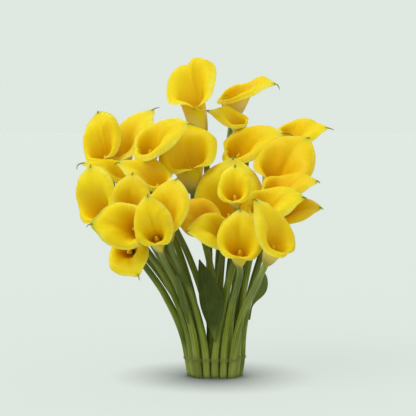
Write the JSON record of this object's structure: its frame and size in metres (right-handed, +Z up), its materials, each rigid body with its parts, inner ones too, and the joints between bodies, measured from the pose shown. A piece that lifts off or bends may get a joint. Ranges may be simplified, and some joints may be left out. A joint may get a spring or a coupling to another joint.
{
  "type": "calla lily bouquet",
  "caption": "Upright bouquet of yellow calla lilies with wrapped trumpet blooms and green tails, tied low with thin twine and standing on its level-cut stems.",
  "frame": {"origin": "middle of the level cut end of the stem in the centre of the bundle, on the ground", "axes": "+Z up along the bouquet, the front of the bouquet looks along -Y, +X to the right seen from the front"},
  "size_m": [0.4194, 0.3994, 0.5141],
  "materials": {
    "spathe": null,
    "stem": null,
    "leaf": null,
    "twine": "matte twisted fibre"
  },
  "bodies": {
    "root": {"bloom_01": "spathe", "bloom_02": "spathe", "bloom_03": "spathe", "bloom_04": "spathe", "bloom_05": "spathe", "bloom_06": "spathe", "bloom_07": "spathe", "bloom_08": "spathe", "bloom_09": "spathe", "bloom_10": "spathe", "bloom_11": "spathe", "bloom_12": "spathe", "bloom_13": "spathe", "bloom_14": "spathe", "bloom_15": "spathe", "bloom_16": "spathe", "bloom_17": "spathe", "bloom_18": "spathe", "bloom_19": "spathe", "bloom_20": "spathe", "bloom_21": "spathe", "bloom_22": "spathe", "bloom_23": "spathe", "bloom_24": "spathe", "bloom_25": "spathe", "bloom_26": "spathe", "bloom_27": "spathe", "stem_01": "stem", "stem_02": "stem", "stem_03": "stem", "stem_04": "stem", "stem_05": "stem", "stem_06": "stem", "stem_07": "stem", "stem_08": "stem", "stem_09": "stem", "stem_10": "stem", "stem_11": "stem", "stem_12": "stem", "stem_13": "stem", "stem_14": "stem", "stem_15": "stem", "stem_16": "stem", "stem_17": "stem", "stem_18": "stem", "stem_19": "stem", "stem_20": "stem", "stem_21": "stem", "stem_22": "stem", "stem_23": "stem", "stem_24": "stem", "stem_25": "stem", "stem_26": "stem", "stem_27": "stem", "leaf_1": "leaf", "leaf_2": "leaf", "leaf_3": "leaf", "twine_tie": "twine"}
  },
  "joints": []
}
